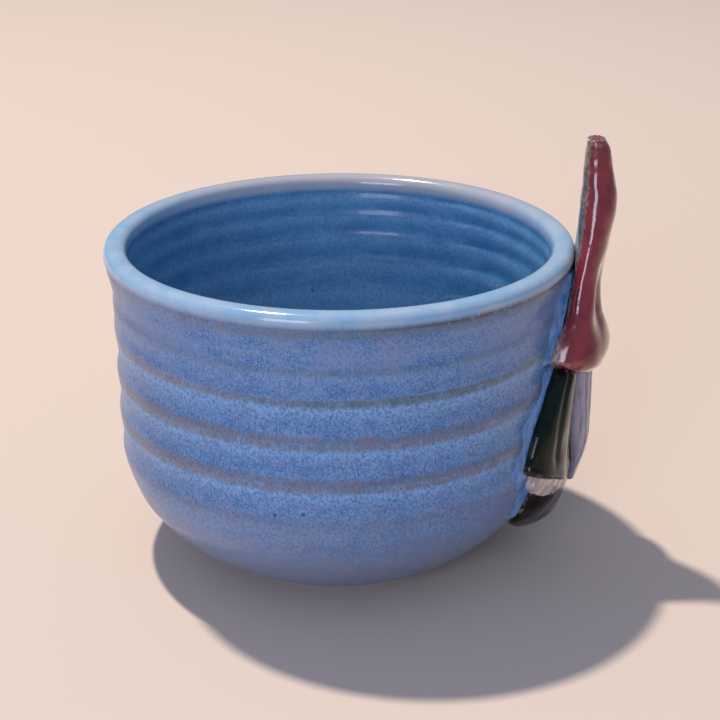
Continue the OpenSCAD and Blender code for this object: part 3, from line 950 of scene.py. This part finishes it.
def make_slip():
    """Two feathered strips beside the gnome and the pad behind its hat, as one piece."""
    under = 1.0
    overlap = 0.9

    def strip(side):
        def place(u, v):
            z = mix(SLIP_LOW, SLIP_HIGH, v)
            w = (side * u + 1) / 2
            return side * (slip_edge(z) - overlap + w * (slip_width(z, side) + overlap)), z

        def outer(s, z):
            w = (abs(s) - slip_edge(z) + overlap) / (slip_width(z, side) + overlap)
            w = min(1.0, max(0.0, w))
            ends = ramp((z - SLIP_LOW) / 4) * ramp((SLIP_HIGH - z) / 3)
            height = mix(1.9, 2.6, ramp((z - 56) / 6))
            height += 0.3 * lumps((s, z, 0.0), 4, 13.0 + side) * (1 - w)
            return near_r(z) - 0.85 + height * (1 - w) ** 1.3 * mix(0.4, 1, ends)

        return relief("slip", 18, 150, place, lambda s, z: near_r(z) - under - 0.3, outer)

    def behind_hat(u, v):
        z = mix(BRIM_Z, SLIP_HIGH, v)
        return u * (hat_side(z) - 0.4), z

    pad = relief("slip", 24, 40, behind_hat, lambda s, z: near_r(z) - under,
                 lambda s, z: hat_in(z) + 0.5)
    joined = bmesh.new()
    for piece in (strip(1), strip(-1), pad):
        joined.from_mesh(piece.data)
        bpy.data.objects.remove(piece)
    mesh = bpy.data.meshes.new("luting_slip_skin")
    joined.to_mesh(mesh)
    joined.free()
    for polygon in mesh.polygons:
        polygon.use_smooth = True
    slip = bpy.data.objects.new("luting_slip_skin", mesh)
    bpy.context.scene.collection.objects.link(slip)

    def feather(place):
        s, z, r = unroll(place)
        side = 1 if s > 0 else -1
        w = (abs(s) - slip_edge(z)) / slip_width(z, side)
        return max(ramp((w - 0.15) / 0.75), ramp((SLIP_LOW + 4 - z) / 4))

    paint(mesh, "feather", feather)
    return slip


# ---- making and placing everything ----
def dress(piece, nodes, material):
    """Gives a piece its glaze, parents it to the root body and hides the imported parts it stands
    for.
    """
    piece.data.materials.clear()
    piece.data.materials.append(material)
    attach(piece, "root")
    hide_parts(*nodes)


def make_floor():
    bpy.ops.mesh.primitive_plane_add(size=8.0)
    floor = bpy.context.object
    floor.name = "studio_floor"
    material, _, shader = new_material("pale_floor")
    shader.inputs["Base Color"].default_value = srgb("#dccdc2")
    shader.inputs["Roughness"].default_value = 0.8
    shader.inputs["Specular IOR Level"].default_value = 0.2
    floor.data.materials.append(material)


def add_light(name, place, aim, size, power, colour, size_y=None):
    light = bpy.data.lights.new(name, "AREA")
    light.shape = "RECTANGLE" if size_y else "DISK"
    light.size = size
    if size_y:
        light.size_y = size_y
    light.energy = power
    light.color = srgb(colour)[:3]
    lamp = bpy.data.objects.new(name, light)
    lamp.location = place
    lamp.rotation_euler = (Vector(aim) - Vector(place)).to_track_quat("-Z", "Y").to_euler()
    bpy.context.scene.collection.objects.link(lamp)


def make_light():
    """A small warm key high up on the left, a low cool softbox in front, and an even fill from all
    round."""
    world = bpy.data.worlds.new("studio")
    world.use_nodes = True
    world.node_tree.nodes["Background"].inputs["Color"].default_value = srgb("#d3dcf7")
    world.node_tree.nodes["Background"].inputs["Strength"].default_value = 0.41
    bpy.context.scene.world = world
    middle = (0.0, 0.0, 0.04)
    add_light("key", (-0.571, 0.405, 2.0), middle, 0.1, 39.0, "#fff1e0")
    add_light("softbox", (-0.34, -1.2, 0.4), middle, 0.5, 5.6, "#e2eaff", size_y=0.5)


def make_camera():
    """A short telephoto view from in front and above."""
    turn = math.radians(8.0)            # the camera stands this far round towards the gnome
    reach, height = 369.3, 198.5        # from the cup's axis, and above the table
    heading, tilt = math.radians(7.08), math.radians(22.2)
    camera = bpy.data.cameras.new("camera")
    camera.lens = 79.4
    camera.sensor_width = 36.0
    camera.clip_start = 0.01
    stand = bpy.data.objects.new("camera", camera)
    stand.location = Vector((reach * math.sin(turn), -reach * math.cos(turn), height)) * MM
    stand.rotation_euler = (math.pi / 2 - tilt, 0.0, heading)
    bpy.context.scene.collection.objects.link(stand)
    bpy.context.scene.camera = stand


make_camera()
make_light()
make_floor()
bpy.context.scene.view_settings.view_transform = "Standard"

blue_glaze = rutile_blue_glaze()
sleeve_glaze = broken_glaze("bottle_green_glaze", body="#10231a", pooled="#070f0e",
                            broken="#5d4746", spread=0.4, gloss=0.06, coat=0.8, glass=1.27)
hand_glaze = broken_glaze("pale_shino_glaze", body="#c9bab8", pooled="#a08d8c", broken="#e2d6d4",
                          spread=0.35, gloss=0.1, speckle=0.6)
coat_glaze = broken_glaze("olive_iron_glaze", body="#1f1a0f", pooled="#110e09", broken="#7a683c",
                          spread=0.3, coat=0.8, glass=1.2)
beard_glaze = broken_glaze("lavender_glaze", body="#9d9cb4", pooled="#7f7d98", broken="#bab6c6",
                           spread=0.3, gloss=0.2, coat=0.6)
dress(make_cup(blue_glaze), ["cup_body"], blue_glaze)
dress(make_slip(), ["luting_slip"], cobalt_slip_glaze())
dress(make_coat(), ["coat"], coat_glaze)
dress(make_beard(), ["beard"], beard_glaze)
dress(make_sleeve("left_arm", 1), ["left_sleeve"], sleeve_glaze)
dress(make_sleeve("right_arm", -1), ["right_sleeve"], sleeve_glaze)
dress(make_hand("left_palm", 1), ["left_hand"], hand_glaze)
dress(make_hand("right_palm", -1), ["right_hand"], hand_glaze)
dress(make_hat(), ["hat"], oxblood_glaze())

bpy.context.view_layer.update()
